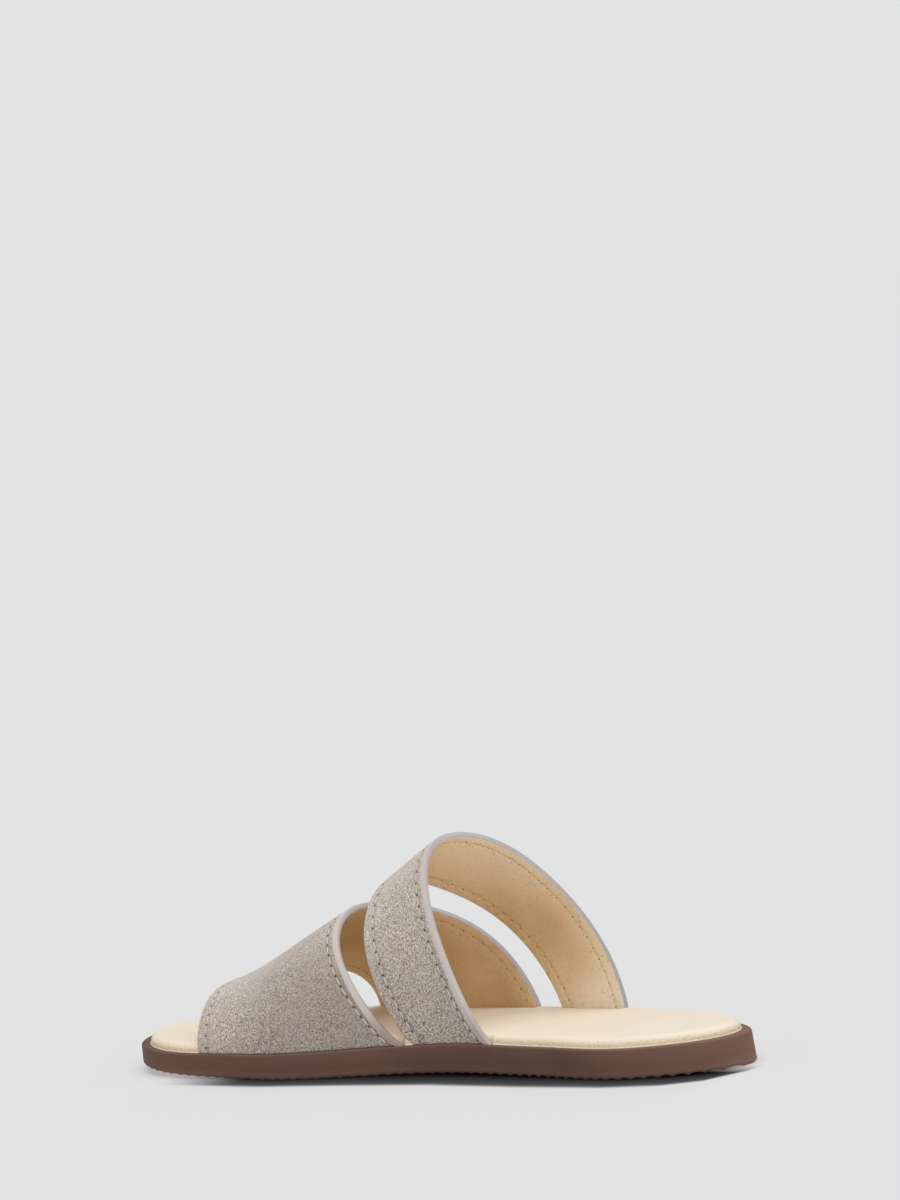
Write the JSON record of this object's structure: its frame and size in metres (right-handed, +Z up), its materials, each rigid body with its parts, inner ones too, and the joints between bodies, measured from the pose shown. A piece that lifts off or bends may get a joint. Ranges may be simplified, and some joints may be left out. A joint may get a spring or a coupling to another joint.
{
  "type": "slide sandal",
  "caption": "Flat slide sandal for the right foot: rubber outsole, padded leather-covered insole, wide front strap and narrower rear strap in suede.",
  "frame": {"origin": "on the floor, under the middle of the sole's outline", "axes": "+X to the toe, +Y to the inner (big toe) side, +Z up"},
  "size_m": [0.2612, 0.086, 0.0842],
  "materials": {
    "outsole_rubber": "matte moulded brown",
    "insole_leather": "smooth matte cream over foam",
    "strap_suede": "taupe suede, short nap",
    "strap_lining": "smooth matte tan lining",
    "strap_edge": "light grey edge paint",
    "strap_thread": "twisted sewing thread"
  },
  "bodies": {
    "root": {"outsole": "outsole_rubber", "insole": "insole_leather", "front_strap": "strap_suede", "rear_strap": "strap_suede"}
  },
  "joints": []
}
